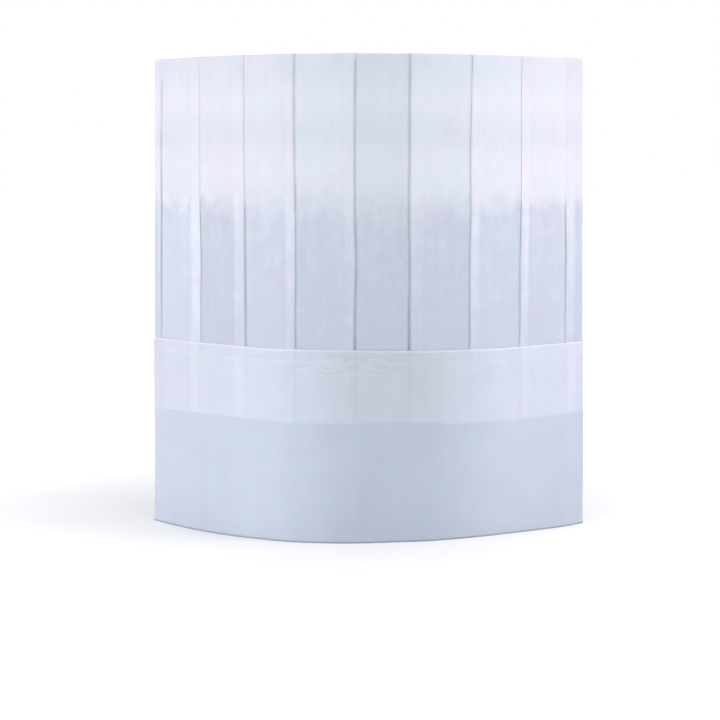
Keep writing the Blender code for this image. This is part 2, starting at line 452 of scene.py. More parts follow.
middle_gap = fold_state((BAND_HEIGHT + VEIL_EDGE) / 2)[0]
print(f"layers lie {middle_gap.min() / MM:.2f} to {middle_gap.max() / MM:.2f} mm apart")

# %% [markdown]
# A panel between two folds isn't flat either. It is a shallow hollow with a slight ripple,
# and it is tight where the rim and the upper edge of the band hold it.

# %% The depth of every column at one height
LIFT_REACH = 4 * MM
LOWEST_LIFTED = 1.4        # only layers above this one lift with the fold's edge
PANEL_HOLLOW = 0.55 * MM
PANEL_RIPPLE = 0.12 * MM
RIPPLE_SIZE = (9 * MM, 60 * MM)
HOLLOW_FADES = 25 * MM
CREASE_RAISE = 0.35 * MM


def columns_at(z):
    """Girth position and depth of every column at height z."""
    gap, wander, lift = fold_state(z)
    column_gap = mix(gap[COL_FIRST], gap[COL_SECOND], COL_SHARE)
    s = COL_S + mix(wander[COL_FIRST], wander[COL_SECOND], COL_SHARE)
    s = s + COL_TURN * column_gap / 2
    up = np.full(len(COL_S), z / RIPPLE_SIZE[1])
    hollow = PANEL_HOLLOW + PANEL_RIPPLE * soft_noise(COL_S / RIPPLE_SIZE[0], up, seed=14)
    hollow = hollow * (1 - smooth_step(CAP_HEIGHT - HOLLOW_FADES, CAP_HEIGHT, z))
    hollow = hollow * smooth_step(0, HOLLOW_FADES, abs(z - BAND_HEIGHT))
    depth = COL_LAYER * column_gap + COL_HOLLOW * hollow - COL_CREASE * CREASE_RAISE
    distance = np.abs((COL_S - LINES[COL_NEAREST] + FACE) % GIRTH - FACE)
    raised = lift[COL_NEAREST] * np.exp(-distance / LIFT_REACH) * (COL_LAYER < LOWEST_LIFTED)
    return s, depth - raised


print(f"deepest column in the middle of the wall: "
      f"{columns_at((BAND_HEIGHT + VEIL_EDGE) / 2)[1].max() / MM:.2f} mm")

# %% [markdown]
# ## Over the rim and down to the seam
#
# At the rim the pleated tube turns in on itself. The turn is a soft roll along the faces
# and sharper at the two creases.

# %% The turn over the rim
RIM_RADIUS = 1.7 * MM
CREASE_SHARPER = 0.55
TIGHTEST_TURN = 0.2 * MM


def rim_point(s, depth, angle):
    """A place on the turn over the rim; angle runs from 0 outside to pi inside."""
    curl = RIM_RADIUS * (1 - CREASE_SHARPER * COL_CREASE)
    top = CAP_HEIGHT - curl
    radius = np.clip(curl - depth, TIGHTEST_TURN, None)
    level = outward(s, top) * (curl - radius * np.cos(angle))[:, None]
    point = on_tube(s, top, 0.0) - level
    point[:, 2] += radius * np.sin(angle)
    return point


print(f"the rim's roll is {2 * RIM_RADIUS / MM:.1f} mm thick, "
      f"{2 * RIM_RADIUS * (1 - CREASE_SHARPER) / MM:.1f} mm at the creases")

# %% [markdown]
# From the rim the sheet slopes down to the middle and is pinched along a straight seam. The
# tube is longer than the seam, so it crimps there, and the crimps run up the slope as fine
# upright creases. Cloth simulation could gather it too, but a wave along the seam that
# fades up the slope gives the same look and is the same each run.

# %% The seam
SEAM_DEPTH_SIDES = 73 * MM
SEAM_DEPTH_MIDDLE = 66 * MM
SEAM_END_INSET = 10 * MM
SEAM_GAP = 0.35 * MM
CRIMP_LENGTH = 8.5 * MM
CRIMP_DEPTH = 1.3 * MM
CRIMP_STEADY = 0.7
CRIMP_DRIFT = 2.5
CRIMP_DRIFTS_OVER = 14 * MM
CRIMP_CHANGES_OVER = 30 * MM
SEAM_JAG = 1.4 * MM
SEAM_JAG_SIZE = 5 * MM


def seam_point(s, depth, below):
    """Where the sheet meets the seam, or a place below it on the pinched edge."""
    share = face_share(s)
    radius, centre = lens(CAP_HEIGHT - SEAM_DEPTH_SIDES)
    half = math.sqrt(radius ** 2 - centre ** 2) - SEAM_END_INSET
    x = half * share
    level = x * 0
    side = np.where((s + FACE / 2) % GIRTH > FACE, 1.0, -1.0)
    drift = CRIMP_DRIFT * soft_noise(x / CRIMP_DRIFTS_OVER, level + 0.5, seed=21)
    uneven = (1 - CRIMP_STEADY) * soft_noise(x / CRIMP_CHANGES_OVER, level, seed=22)
    wave = np.sin(2 * np.pi * x / CRIMP_LENGTH + drift)
    crimp = CRIMP_DEPTH * wave * (CRIMP_STEADY + uneven)
    y = side * (SEAM_GAP + depth) + crimp
    z = CAP_HEIGHT - mix(SEAM_DEPTH_MIDDLE, SEAM_DEPTH_SIDES, share ** 2) - below
    z = z + SEAM_JAG * soft_noise(x / SEAM_JAG_SIZE, level, seed=23)
    return np.stack([x, y, z], axis=-1), crimp


seam_x = seam_point(np.array([-FACE / 2, FACE / 2]), 0.0, 0.0)[0][:, 0]
print(f"the seam is {np.ptp(seam_x) / MM:.0f} mm long")

# %% The rows of the crown
WALL_ROW = 4 * MM
WALL_TOP = CAP_HEIGHT - RIM_RADIUS
SLOPE_ROWS = 24
RIM_ROWS = 6
CRIMP_GROWTH = 1.5
SEAM_FLANGE = 7 * MM
DEPTH_AT_RIM = (-0.5 * MM, RIM_RADIUS - 0.3 * MM)


def wall_rows():
    """Rows of points from the hidden foot to the rim, and the paper's length up to each."""
    count = math.ceil((WALL_TOP - CROWN_FOOT) / WALL_ROW)
    heights = [mix(CROWN_FOOT, WALL_TOP, k / count) for k in range(count + 1)]
    rows = []
    for z in heights:
        s, depth = columns_at(z)
        rows.append(on_tube(s, np.full(len(s), z), depth))
    return rows, [z - CROWN_FOOT for z in heights]


def turned_in_rows(wall_length):
    """Rows over the rim and down to the pinched seam, and the paper's length up to each."""
    s, depth = columns_at(WALL_TOP)
    depth = np.clip(depth, *DEPTH_AT_RIM)
    seam, crimp = seam_point(s, depth, 0.0)
    inside = rim_point(s, depth, np.full(len(s), np.pi))
    away = np.linalg.norm((seam - inside)[:, :2], axis=1)
    lean = np.arctan2(away, inside[:, 2] - seam[:, 2])
    rows = []
    lengths = []
    for k in range(1, RIM_ROWS + 1):
        rows.append(rim_point(s, depth, (np.pi - lean) * k / RIM_ROWS))
        lengths.append(wall_length + RIM_RADIUS * np.pi * k / RIM_ROWS)
    start = rows[-1]
    rim_length = lengths[-1]
    for k in range(1, SLOPE_ROWS + 1):
        share = k / SLOPE_ROWS
        points = mix(start, seam, share)
        points[:, 1] += crimp * (share ** CRIMP_GROWTH - share)
        rows.append(points)
        lengths.append(rim_length + SEAM_DEPTH_SIDES * share)
    for below in (0.5 * SEAM_FLANGE, SEAM_FLANGE):
        rows.append(seam_point(s, depth, below)[0])
        lengths.append(rim_length + SEAM_DEPTH_SIDES + below)
    return rows, lengths


outer_rows, outer_lengths = wall_rows()
inner_rows, inner_lengths = turned_in_rows(outer_lengths[-1])
crown_points = np.array(outer_rows + inner_rows)
crown_heights = np.array(outer_lengths + inner_lengths)
print(len(crown_points), "rows,", round(crown_heights[-1] / MM), "mm of paper from end to end")

# %% [markdown]
# ## What the paper keeps at each point
#
# Thin paper shows what lies behind it. Above the edge of the turned-in sheet the wall is
# two layers thick and looks whiter. Beside each fold line it is three layers thick, which
# gives the light strips. Rendering real light through several thin layers is slow and
# noisy, so each point keeps a few numbers instead, and the material turns them to colour.
#
# The first is how much whiter or greyer the wall is painted in level bands: painted light and
# shade where the turned-in sheet lies close to it or stands off, and a painted highlight on
# the roll over the rim.

# %% Painted level bands above the edge of the turned-in sheet, and a painted rim highlight
Veil = namedtuple("Veil", "height whiter")
PAINTED_VEIL_AND_RIM_LIGHT = (
    Veil(112 * MM, -0.14),
    Veil(190 * MM, 0.00),
    Veil(206 * MM, 0.03),
    Veil(214 * MM, 0.07),
    Veil(224 * MM, 0.04),
    Veil(231 * MM, -0.07),
    Veil(237 * MM, -0.11),
    Veil(245 * MM, -0.03),
    Veil(253 * MM, 0.06),
    Veil(261 * MM, -0.02),
    Veil(270 * MM, -0.13),
    Veil(278.5 * MM, -0.15),
    # from here over the rim: a painted highlight on the roll
    Veil(280 * MM, 0.45),
    Veil(285 * MM, 0.45),
    Veil(290 * MM, 0.00),
)
crown_painted_veil_light = read_table(PAINTED_VEIL_AND_RIM_LIGHT, "whiter", crown_heights + CROWN_FOOT)
print(f"level bands: {crown_painted_veil_light.min():.2f} to {crown_painted_veil_light.max():.2f}")

# %% [markdown]
# A fold line is a thin shadow under the fold's edge, painted into the paper's colour. It is darker
# where the edge stands off more, in the middle of the front just above the band, and it can fade
# out under the rim, where the fold is pressed flat.

# %% How dark each pleat line is
DEEPER_MIDDLE = 0.6
DEEPER_SIDES = -0.6
DEEPER_REACH = 35 * MM
LINE_BLUR = 3 * MM
LINE_STARTS_FROM = 0.3     # share of line_starts where the line is first seen
LINE_INSIDE = 0.5
LINE_STEADY = 0.85
LINE_UNEVEN = 0.25
LINE_CHANGES_OVER = 9 * MM
LINE_UNLIKE = 5.3


def above_veil_edge(height, blur):
    """0 below the turned-in sheet's edge and 1 above it, at a height on the paper."""
    return smooth_step(-blur, blur, height + CROWN_FOOT - VEIL_EDGE)


def line_darkness(height):
    """Painted shadow of the pleat lines beside every column, at a height on the paper."""
    below_rim = CAP_HEIGHT - CROWN_FOOT - height
    depth = mix(LINE_BELOW[COL_NEAREST], LINE_ABOVE[COL_NEAREST],
                above_veil_edge(height, LINE_BLUR))
    near_band = 1 - smooth_step(BAND_HEIGHT, BAND_HEIGHT + DEEPER_REACH, height + CROWN_FOOT)
    to_side = np.abs(face_share(LINES[COL_NEAREST]))
    depth = depth * (1 + near_band * mix(DEEPER_MIDDLE, DEEPER_SIDES, to_side))
    starts = LINE_STARTS[COL_NEAREST]
    shown = np.where(starts > 0, smooth_step(LINE_STARTS_FROM * starts, starts + MM, below_rim),
                     1.0)
    shown = np.where(below_rim < 0, LINE_INSIDE, shown)
    up = np.full(len(columns), height / LINE_CHANGES_OVER)
    noise = soft_noise(COL_NEAREST * LINE_UNLIKE, up, seed=41)
    return COL_SHADOW * depth * shown * (LINE_STEADY + LINE_UNEVEN * noise)


crown_line = np.array([line_darkness(height) for height in crown_heights])
print(f"darkest pleat line: {crown_line.max():.2f}")

# %% [markdown]
# The strips fade on the way down, the more so under the seam. Each panel leans a little
# differently and lies on more or less paper, so each is given a painted brightness and tint:
# painted light and shade for the way it faces the lamps. Only a part of the tint shows under
# the turned-in sheet.

# %% How bright each strip and panel is
STRIP_LOW = 0.65
STRIP_HIGH = 1.10
COOL_BELOW = 0.50
OWN_COOL_BELOW = 0.3
STRIP_COOLER = 0.22
HAZE_MIDDLE = 20 * MM      # the edge of the turned-in sheet is lost in haze over this length
HAZE_SIDES = 6.5 * MM
HAZE_NARROWS = 0.75

crown_top = (crown_heights + CROWN_FOOT - BAND_HEIGHT) / (VEIL_EDGE - BAND_HEIGHT)
crown_strip = mix(STRIP_LOW, STRIP_HIGH, np.clip(crown_top, 0, 1))[:, None] * COL_STRIP
above = above_veil_edge(crown_heights, VEIL_BLUR)[:, None]
# painted light and shade of each panel, for how it faces the lamps
crown_tone = mix(column_of(ORDERED, "tone_below")[COL_PANEL],
                 column_of(ORDERED, "tone_above")[COL_PANEL], above)
own_cool = column_of(ORDERED, "cool")[COL_PANEL]
cool_below = mix(COOL_BELOW, own_cool, OWN_COOL_BELOW) + STRIP_COOLER * COL_STRIP
crown_cool = mix(cool_below, own_cool, above)
haze = mix(HAZE_MIDDLE, HAZE_SIDES, np.clip(np.abs(face_share(COL_S)) / HAZE_NARROWS, 0, 1))
print(f"panel brightness from {crown_tone.min():.2f} to {crown_tone.max():.2f}")


# %% A sheet mesh from a grid of points
def paper_places(row):
    """How far along the paper each point of a row lies."""
    steps = np.linalg.norm(np.diff(row, axis=0), axis=1)
    return np.concatenate([[0.0], np.cumsum(steps)])


def grid_sheet(name, rows, closed, paper_u, paper_v, kept):
    """A smooth mesh of quads; paper_u and paper_v lay the paper's own metres on it."""
    row_count, column_count = rows.shape[:2]
    quads = []
    for r in range(row_count - 1):
        for c in range(column_count if closed else column_count - 1):
            d = (c + 1) % column_count
            quads.append((r * column_count + c, r * column_count + d,
                          (r + 1) * column_count + d, (r + 1) * column_count + c))
    mesh = bpy.data.meshes.new(name)
    mesh.from_pydata(rows.reshape(-1, 3).tolist(), [], quads)
    corner = np.zeros(len(mesh.loops), dtype=np.int32)
    mesh.loops.foreach_get("vertex_index", corner)
    corner_row, corner_column = np.divmod(corner, column_count)
    u = paper_u[corner_column].copy()
    if closed:
        wraps = np.repeat(np.arange(len(quads)) % column_count == column_count - 1, 4)
        u[wraps & (corner_column == 0)] = paper_u[-1] + (paper_u[1] - paper_u[0])
    layout = mesh.uv_layers.new(name="paper")
    layout.data.foreach_set("uv", np.stack([u, paper_v[corner_row]], axis=-1).ravel())
    for label, values in kept.items():
        everywhere = np.broadcast_to(values, (row_count, column_count))
        store = mesh.attributes.new(label, "FLOAT", "POINT")
        store.data.foreach_set("value", everywhere.astype(np.float32).ravel())
    mesh.shade_smooth()
    mesh.update()
    item = bpy.data.objects.new(name, mesh)
    bpy.context.scene.collection.objects.link(item)
    print(name, len(quads), "quads")
    return item


# %% The crown
MEASURED_ROW = 20          # a row of the free wall; the paper's width is measured along it

crown_places = paper_places(crown_points[MEASURED_ROW])
crown = grid_sheet(
    "crown_paper", crown_points, True, crown_places, crown_heights,
    {
        "strip": crown_strip,
        "line": crown_line,
        "haze": haze,
        "veil": crown_painted_veil_light[:, None],
        "tone": crown_tone,
        "cool": crown_cool,
    },
)

# %% [markdown]
# ## The band
#
# The band is one strip of the same paper wrapped round the outside of the crown's foot.
# Its ends overlap at the back. Its top edge is folded in, and that fold shows as a thin bright
# line: two layers of paper, with a painted highlight where the fold catches the light. The
# first 1.6 mm of the folded part is built, and the material draws the fainter line where the
# rest of it ends. Neither that edge nor the crown's own edge, which shows through the band,
# is quite level: two short tables say how far each rises or dips along the front.

# %% The two uneven edges
Rise = namedtuple("Rise", "across rise")
TOP_EDGE = (
    Rise(-146 * MM, 2.4 * MM),
    Rise(-120 * MM, 2.5 * MM),
    Rise(-90 * MM, 2.5 * MM),
    Rise(-60 * MM, 1.7 * MM),
    Rise(-42 * MM, 1.8 * MM),
    Rise(-5 * MM, 1.7 * MM),
    Rise(20 * MM, 1.2 * MM),
    Rise(40 * MM, 0.9 * MM),
    Rise(62 * MM, 0.8 * MM),
    Rise(80 * MM, 0.4 * MM),
    Rise(110 * MM, 0.9 * MM),
    Rise(146 * MM, 1.0 * MM),
)
CROWN_EDGE = (
    Rise(-138 * MM, 0.9 * MM),
    Rise(-120 * MM, 1.9 * MM),
    Rise(-87 * MM, 2.1 * MM),
    Rise(-61 * MM, 1.6 * MM),
    Rise(-44 * MM, 0.8 * MM),
    Rise(-9 * MM, 1.0 * MM),
    Rise(14 * MM, 1.6 * MM),
    Rise(22 * MM, 1.5 * MM),
    Rise(30 * MM, 0.7 * MM),
    Rise(44 * MM, 0.3 * MM),
    Rise(50 * MM, -0.8 * MM),
    Rise(80 * MM, -0.8 * MM),
    Rise(105 * MM, -0.6 * MM),
    Rise(146 * MM, 0.0 * MM),
)
TOP_INSET = 1.2 * MM
BACK_RISE = 0.5
BAND_LAP = 40 * MM
BAND_STEP = 1.6 * MM


def edge_rise(s, table):
    """How far an edge lies above its level height; half as far round the back."""
    rise = read_table(table, "rise", face_share(s) * FACE / 2)
    turn = (s + FACE / 2) % GIRTH - FACE / 2
    return np.where(turn > FACE / 2, BACK_RISE * rise, rise)


band_start = FACE - BAND_LAP / 2
band_end = band_start + GIRTH + BAND_LAP
band_s = np.linspace(band_start, band_end, math.ceil((band_end - band_start) / BAND_STEP) + 1)
band_top = BAND_HEIGHT - TOP_INSET + edge_rise(band_s, TOP_EDGE)
crown_edge = CROWN_FOOT + edge_rise(band_s, CROWN_EDGE)
print(f"the band's top edge is {band_top.min() / MM:.1f} to {band_top.max() / MM:.1f} mm high")

# %% [markdown]
# The strip lies 0.6 mm outside the crown and closer along its folded top edge,
# so that it throws no shadow there. It waves softly all over. In the middle of the front,
# under the top edge, it was crushed in the packet and keeps fine slanting wrinkles.

# %% The waves of the band
BAND_OUT = 0.6 * MM
LAP_RAMP = 14 * MM
LAP_RISE = 0.7 * MM
TOP_PRESS = 0.38 * MM
TOP_PRESS_REACH = 6 * MM
WAVE = 0.5 * MM
WAVE_SIZE = (45 * MM, 40 * MM)
WRINKLE = 0.35 * MM
WRINKLE_SIZE = (7 * MM, 5 * MM)
WRINKLE_SLANT = 11 * MM
WRINKLE_MIDDLE = 9 * MM
WRINKLE_ZONE = 10 * MM
WRINKLE_WIDTH = 0.5
STILL_FOOT = 6 * MM
STILL_TOP = 4 * MM

lap_share = np.clip((band_s - (band_start + GIRTH - LAP_RAMP)) / LAP_RAMP, 0, 1)
band_depth = -BAND_OUT - LAP_RISE * lap_share
band_from_crease = (1 - np.abs(face_share(band_s))) * FACE / 2
top_press = TOP_PRESS * (1 - np.exp(-(band_from_crease / CREASE_REACH) ** 2))


def wrinkle_share(s, z, top):
    """1 where the strip is crushed, under its top edge at the front, and 0 far from there."""
    front = np.exp(-(face_share(s) / WRINKLE_WIDTH) ** 2) * (np.abs((s % GIRTH) - FACE) > FACE / 2)
    return front * np.exp(-((top - z - WRINKLE_MIDDLE) / WRINKLE_ZONE) ** 2)


def band_ripple(s, z, top):
    """Soft waves all over the strip, and fine wrinkles where it is crushed."""
    wave = WAVE * soft_noise(s / WAVE_SIZE[0], z / WAVE_SIZE[1], seed=31)
    slant = s / WRINKLE_SIZE[0] + z / WRINKLE_SLANT
    fine = WRINKLE * soft_noise(slant, z / WRINKLE_SIZE[1], seed=32) * wrinkle_share(s, z, top)
    settle = smooth_step(0, STILL_FOOT, z) * smooth_step(0, STILL_TOP, top - z)
    return (wave + fine) * settle


print(f"the outer end of the lap rises by {LAP_RISE / MM:.1f} mm over {LAP_RAMP / MM:.0f} mm")

# %% The rows of the band
BAND_ROW = 3 * MM
HEM_RADIUS = 0.10 * MM
HEM_DEPTH = 1.6 * MM
HEM_TURN_ROWS = 4
HEM_TURN_ROW = 0.2 * MM
HEM_ROWS = 2

band_rows = []
band_lengths = []
wrinkled = []
over_edge = []
under_top = []
row_total = math.ceil(BAND_HEIGHT / BAND_ROW)
for k in range(row_total + 1):
    z = (band_top - HEM_RADIUS) * k / row_total
    pressed = top_press * (1 - smooth_step(0, TOP_PRESS_REACH, band_top - z))
    depth = band_depth + pressed - band_ripple(band_s, z, band_top)
    band_rows.append(on_tube(band_s, z, depth))
    band_lengths.append(BAND_HEIGHT * k / row_total)
    wrinkled.append(wrinkle_share(band_s, z, band_top))
    over_edge.append(z - crown_edge)
    under_top.append(band_top - z)
for k in range(1, HEM_TURN_ROWS + 1):
    angle = math.pi * k / HEM_TURN_ROWS
    z = band_top - HEM_RADIUS + HEM_RADIUS * math.sin(angle)
    inward = HEM_RADIUS * (1 - math.cos(angle))
    band_rows.append(on_tube(band_s, z, band_depth + top_press + inward))
    band_lengths.append(BAND_HEIGHT + HEM_TURN_ROW * k)
for k in range(1, HEM_ROWS + 1):
    z = band_top - HEM_RADIUS - HEM_DEPTH * k / HEM_ROWS
    band_rows.append(on_tube(band_s, z, band_depth + top_press + 2 * HEM_RADIUS))
    band_lengths.append(BAND_HEIGHT + MM + HEM_DEPTH * k / HEM_ROWS)
hem_total = len(band_rows) - len(wrinkled)
wrinkled += [np.zeros(len(band_s))] * hem_total
over_edge += [over_edge[-1]] * hem_total
under_top += [np.zeros(len(band_s))] * hem_total
print(len(band_rows), "rows,", hem_total, "of them in the hem")

# %% [markdown]
# The band's brightness changes softly along it, with its waves and with how the light
# falls on it. A table paints that light and shade for the part over the crown and the part below.

# %% How bright the band is along the front
Tone = namedtuple("Tone", "across upper lower cool")
BAND_TONE = (
    Tone(-146 * MM, 0.985, 1.098, 0.33),
    Tone(-124 * MM, 0.998, 1.075, 0.36),
    Tone(-100 * MM, 1.010, 1.077, 0.46),
    Tone(-85 * MM, 1.030, 1.107, 0.50),
    Tone(-68 * MM, 1.060, 1.140, 0.52),
    Tone(-50 * MM, 1.055, 1.130, 0.54),
    Tone(-38 * MM, 1.035, 1.105, 0.52),
    Tone(-28 * MM, 1.012, 1.073, 0.52),
    Tone(-14 * MM, 0.957, 1.003, 0.50),
    Tone(0 * MM, 0.924, 0.968, 0.50),
    Tone(20 * MM, 0.917, 0.983, 0.50),
    Tone(36 * MM, 0.924, 0.988, 0.50),
    Tone(50 * MM, 0.977, 1.013, 0.48),
    Tone(66 * MM, 1.032, 1.078, 0.42),
    Tone(85 * MM, 1.072, 1.098, 0.42),
    Tone(105 * MM, 1.057, 1.088, 0.42),
    Tone(125 * MM, 1.032, 1.038, 0.36),
    Tone(146 * MM, 0.982, 0.978, 0.30),
)
TONE_UPPER = 95 * MM
TONE_LOWER = 30 * MM

band_across = face_share(band_s) * FACE / 2
tone_share = (np.array(band_lengths) - TONE_LOWER) / (TONE_UPPER - TONE_LOWER)
band_tone = mix(read_table(BAND_TONE, "lower", band_across),
                read_table(BAND_TONE, "upper", band_across),
                np.clip(tone_share, 0, 1)[:, None])
print(f"band brightness from {band_tone.min():.2f} to {band_tone.max():.2f}")

# %% The band
STRONG_STRIP = 0.6         # fainter strips than this don't show through the band

visible = ~COL_HIDDEN
around = np.argsort(COL_S[visible] % GIRTH)
places = (COL_S[visible] % GIRTH)[around]
strip_through = np.interp(band_s % GIRTH, places, COL_STRIP[visible][around])
line_through = np.interp(band_s % GIRTH, places, COL_SHADOW[visible][around])
band = grid_sheet(
    "band_paper", np.array(band_rows), False, paper_places(band_rows[0]),
    np.array(band_lengths),
    {
        "strip": np.clip((strip_through - STRONG_STRIP) / (1 - STRONG_STRIP), 0, 1),
        "over_edge": over_edge,
        "under_top": under_top,
        "wrinkled": wrinkled,
        "tone": band_tone,
        "cool": read_table(BAND_TONE, "cool", band_across),
        "line": line_through,
    },
)

# %% [markdown]
# ## Non-woven paper
#
# The paper is made of short plastic and wood fibres pressed into a felt a fifth of a
# millimetre thick. It gives the eye a matt, cold white, cloudy where the fibres bunch, and
# it lets a little light through, so two or three layers look whiter than one.
#
# A picture of paper would be one way to show that. We draw it with noise instead, in the
# sheet's own millimetres, so that it has the right scale everywhere. One number says how
# white the paper looks. It is summed from layers, clouds and fibres, and turned to a
# colour at the end.


# %% Helpers for materials
def hex_colour(code):
    """A linear RGBA colour from an sRGB hex value such as '#e8ecf4'."""
    channels = [int(code[i:i + 2], 16) / 255 for i in (1, 3, 5)]
    linear = [c / 12.92 if c <= 0.04045 else ((c + 0.055) / 1.055) ** 2.4 for c in channels]
    return (*linear, 1.0)


def add_node(tree, kind, inputs=None, out=0, **settings):
    """Add a node; inputs maps its sockets to values or to other nodes' outputs."""
    node = tree.nodes.new("ShaderNode" + kind)
    for name, value in settings.items():
        setattr(node, name, value)
    for socket, value in (inputs or {}).items():
        if isinstance(value, bpy.types.NodeSocket):
            tree.links.new(value, node.inputs[socket])
        else:
            node.inputs[socket].default_value = value
    return node.outputs[out] if node.outputs else None


def new_material(name):
    """An empty node material and its tree."""
    material = bpy.data.materials.new(name)
    material.use_nodes = True
    material.node_tree.nodes.clear()
    return material, material.node_tree


print("paper white is", [round(c, 3) for c in hex_colour("#f3f4fa")[:3]], "in linear light")

# %% [markdown]
# Fibres lie mostly along the sheet as it left the mill, so their noise is stretched: up
# the crown, and along the band. A fibre is a fiftieth of a millimetre thick and can't be
# seen from a metre away, so it is drawn as a grain of 1.8 mm, the finest that shows.
# Clouds, where fibres bunch, are 4 to 24 mm across.

# %% The grain of the paper
FIBRE = (1.8 * MM, 26 * MM)
STREAK = (4.5 * MM, 90 * MM)
CLOUD = (4 * MM, 6 * MM)
WISP = (7 * MM, 10 * MM)
MOTTLE = (11 * MM, 12 * MM)
TINT_CLOUD = (24 * MM, 15 * MM)
NOISE_RANGE = (0.25, 0.75)   # nearly all of Blender's noise lies between these
NOISE_ROUGHNESS = 0.55
SEED_STEP = (7.3, 3.1)


def cloudiness(tree, paper, size, detail, seed):
    """Soft noise from -1 to 1 in grains of a given width and height on the paper."""
    place = add_node(tree, "Mapping", {
        "Vector": paper,
        "Scale": (1 / size[0], 1 / size[1], 1.0),
        "Location": (seed * SEED_STEP[0], seed * SEED_STEP[1], 0.0),
    })
    noise = add_node(tree, "TexNoise", {
        "Vector": place, "Scale": 1.0, "Detail": detail, "Roughness": NOISE_ROUGHNESS,
    }, noise_dimensions="2D")
    return add_node(tree, "MapRange", {
        "Value": noise, "From Min": NOISE_RANGE[0], "From Max": NOISE_RANGE[1],
        "To Min": -1.0, "To Max": 1.0,
    })


print(f"finest grain: {FIBRE[0] / MM:.1f} mm wide, {FIBRE[1] / MM:.0f} mm long")

# %% [markdown]
# A single layer is painted a cool grey-white, for the darkness of the hollow cap that shows
# through it. Several layers are nearly pure white. Over that lies a faint tint between
# lavender and cyan: it drifts in soft clouds, and it is painted per panel for the sheet
# bending towards or away from the light.

# %% From whiteness to colour
THIN_PAPER = "#ced5e0"
THICK_PAPER = "#f3f4fa"
LAVENDER_TINT = "#fffaff"
CYAN_TINT = "#f8ffff"
BAND_CYAN = "#f3ffff"
TINT_CHANGE = 0.28


def paper_colour(tree, paper, whiter, cyan, tint_seed, tint_change):
    """The paper's colour where it looks so white, with its tint and its painted light and shade.
    """
    colour = add_node(tree, "Mix", {
        0: whiter, 6: hex_colour(THIN_PAPER), 7: hex_colour(THICK_PAPER),
    }, out=2, data_type="RGBA")
    drift = cloudiness(tree, paper, TINT_CLOUD, 1.0, tint_seed)
    cool = add_node(tree, "Attribute", out="Fac", attribute_name="cool")
    cooler = add_node(tree, "Math", {0: drift, 1: tint_change, 2: cool},
                      operation="MULTIPLY_ADD", use_clamp=True)
    tint = add_node(tree, "Mix", {
        0: cooler, 6: hex_colour(LAVENDER_TINT), 7: hex_colour(cyan),
    }, out=2, data_type="RGBA")
    colour = add_node(tree, "Mix", {0: 1.0, 6: colour, 7: tint}, out=2,
                      data_type="RGBA", blend_type="MULTIPLY")
    tone = add_node(tree, "Attribute", out="Fac", attribute_name="tone")
    return add_node(tree, "VectorMath", {0: colour, "Scale": tone}, operation="SCALE")


print("thin paper", THIN_PAPER, "and thick paper", THICK_PAPER)

# %% [markdown]
# The surface is a felt of fibres that point every way, so it has no gloss at all: it is
# rough, and its mirror share is off. Cellulose and polypropylene both have an IOR near
# 1.45 to 1.5. A fifth of the light goes through the sheet and comes out spread on the
# other side. The fibres stand up by less than a tenth of a millimetre.

# %% The surface of the paper
PAPER_ROUGHNESS = 0.85
PAPER_IOR = 1.45
THROUGH = 0.22
FIBRE_HEIGHT = 0.06 * MM
BUMP_STRENGTH = 0.25


def paper_surface(tree, colour, bump_height):
    """Matt fibre surface that lets a share of the light through."""
    normal = add_node(tree, "Bump", {
        "Height": bump_height, "Strength": BUMP_STRENGTH, "Distance": FIBRE_HEIGHT,
    })
    surface = add_node(tree, "BsdfPrincipled", {
        "Base Color": colour, "Normal": normal, "Roughness": PAPER_ROUGHNESS,
        "IOR": PAPER_IOR, "Specular IOR Level": 0.0,
    })
    through = add_node(tree, "BsdfTranslucent", {"Color": colour, "Normal": normal})
    both = add_node(tree, "MixShader", {0: THROUGH, 1: surface, 2: through})
    add_node(tree, "OutputMaterial", {"Surface": both})


print(f"{100 * THROUGH:.0f}% of the light goes through one sheet")

# %% [markdown]
# ## The pleated paper of the crown
#
# The crown is whiter where the turned-in sheet lies behind it. The sheet's edge isn't a
# clean line, because the paper there is gathered and stands off by more or less: wisps
# break it up, and haze softens it, more so in the middle of the front. Clouds and streaks
# show more in a single layer than in two.

# %% How white the crown looks
JAG = 4.5 * MM
JAG_FIBRE = 0.10
JAG_WISP = 0.90
TURNED_WHITER = 0.48
STRIP_WHITER = 0.44
STRIP_COVERED = 0.8        # share of a strip's brightness lost over the turned-in sheet
CROWN_FIBRE_WHITER = 0.015
CROWN_WHITER = 0.08
Uneven = namedtuple("Uneven", "single double")
STREAKED = Uneven(0.06, 0.03)
CLOUDED = Uneven(0.07, 0.03)
MOTTLED = Uneven(0.10, 0.04)


def turned_in_share(tree, fibre, wisp, height):
    """0 where the wall is one layer thick and 1 where the turned-in sheet lies behind it."""
    jagged = add_node(tree, "Math", {0: fibre, 1: JAG * JAG_FIBRE, 2: height},
                      operation="MULTIPLY_ADD")
    jagged = add_node(tree, "Math", {0: wisp, 1: JAG * JAG_WISP, 2: jagged},
                      operation="MULTIPLY_ADD")
    past = add_node(tree, "Math", {0: jagged, 1: VEIL_EDGE - CROWN_FOOT}, operation="SUBTRACT")
    haze = add_node(tree, "Attribute", out="Fac", attribute_name="haze")
    past = add_node(tree, "Math", {0: past, 1: haze}, operation="DIVIDE")
    return add_node(tree, "MapRange", {"Value": past, "From Min": -1.0, "From Max": 1.0},
                    interpolation_type="SMOOTHSTEP")


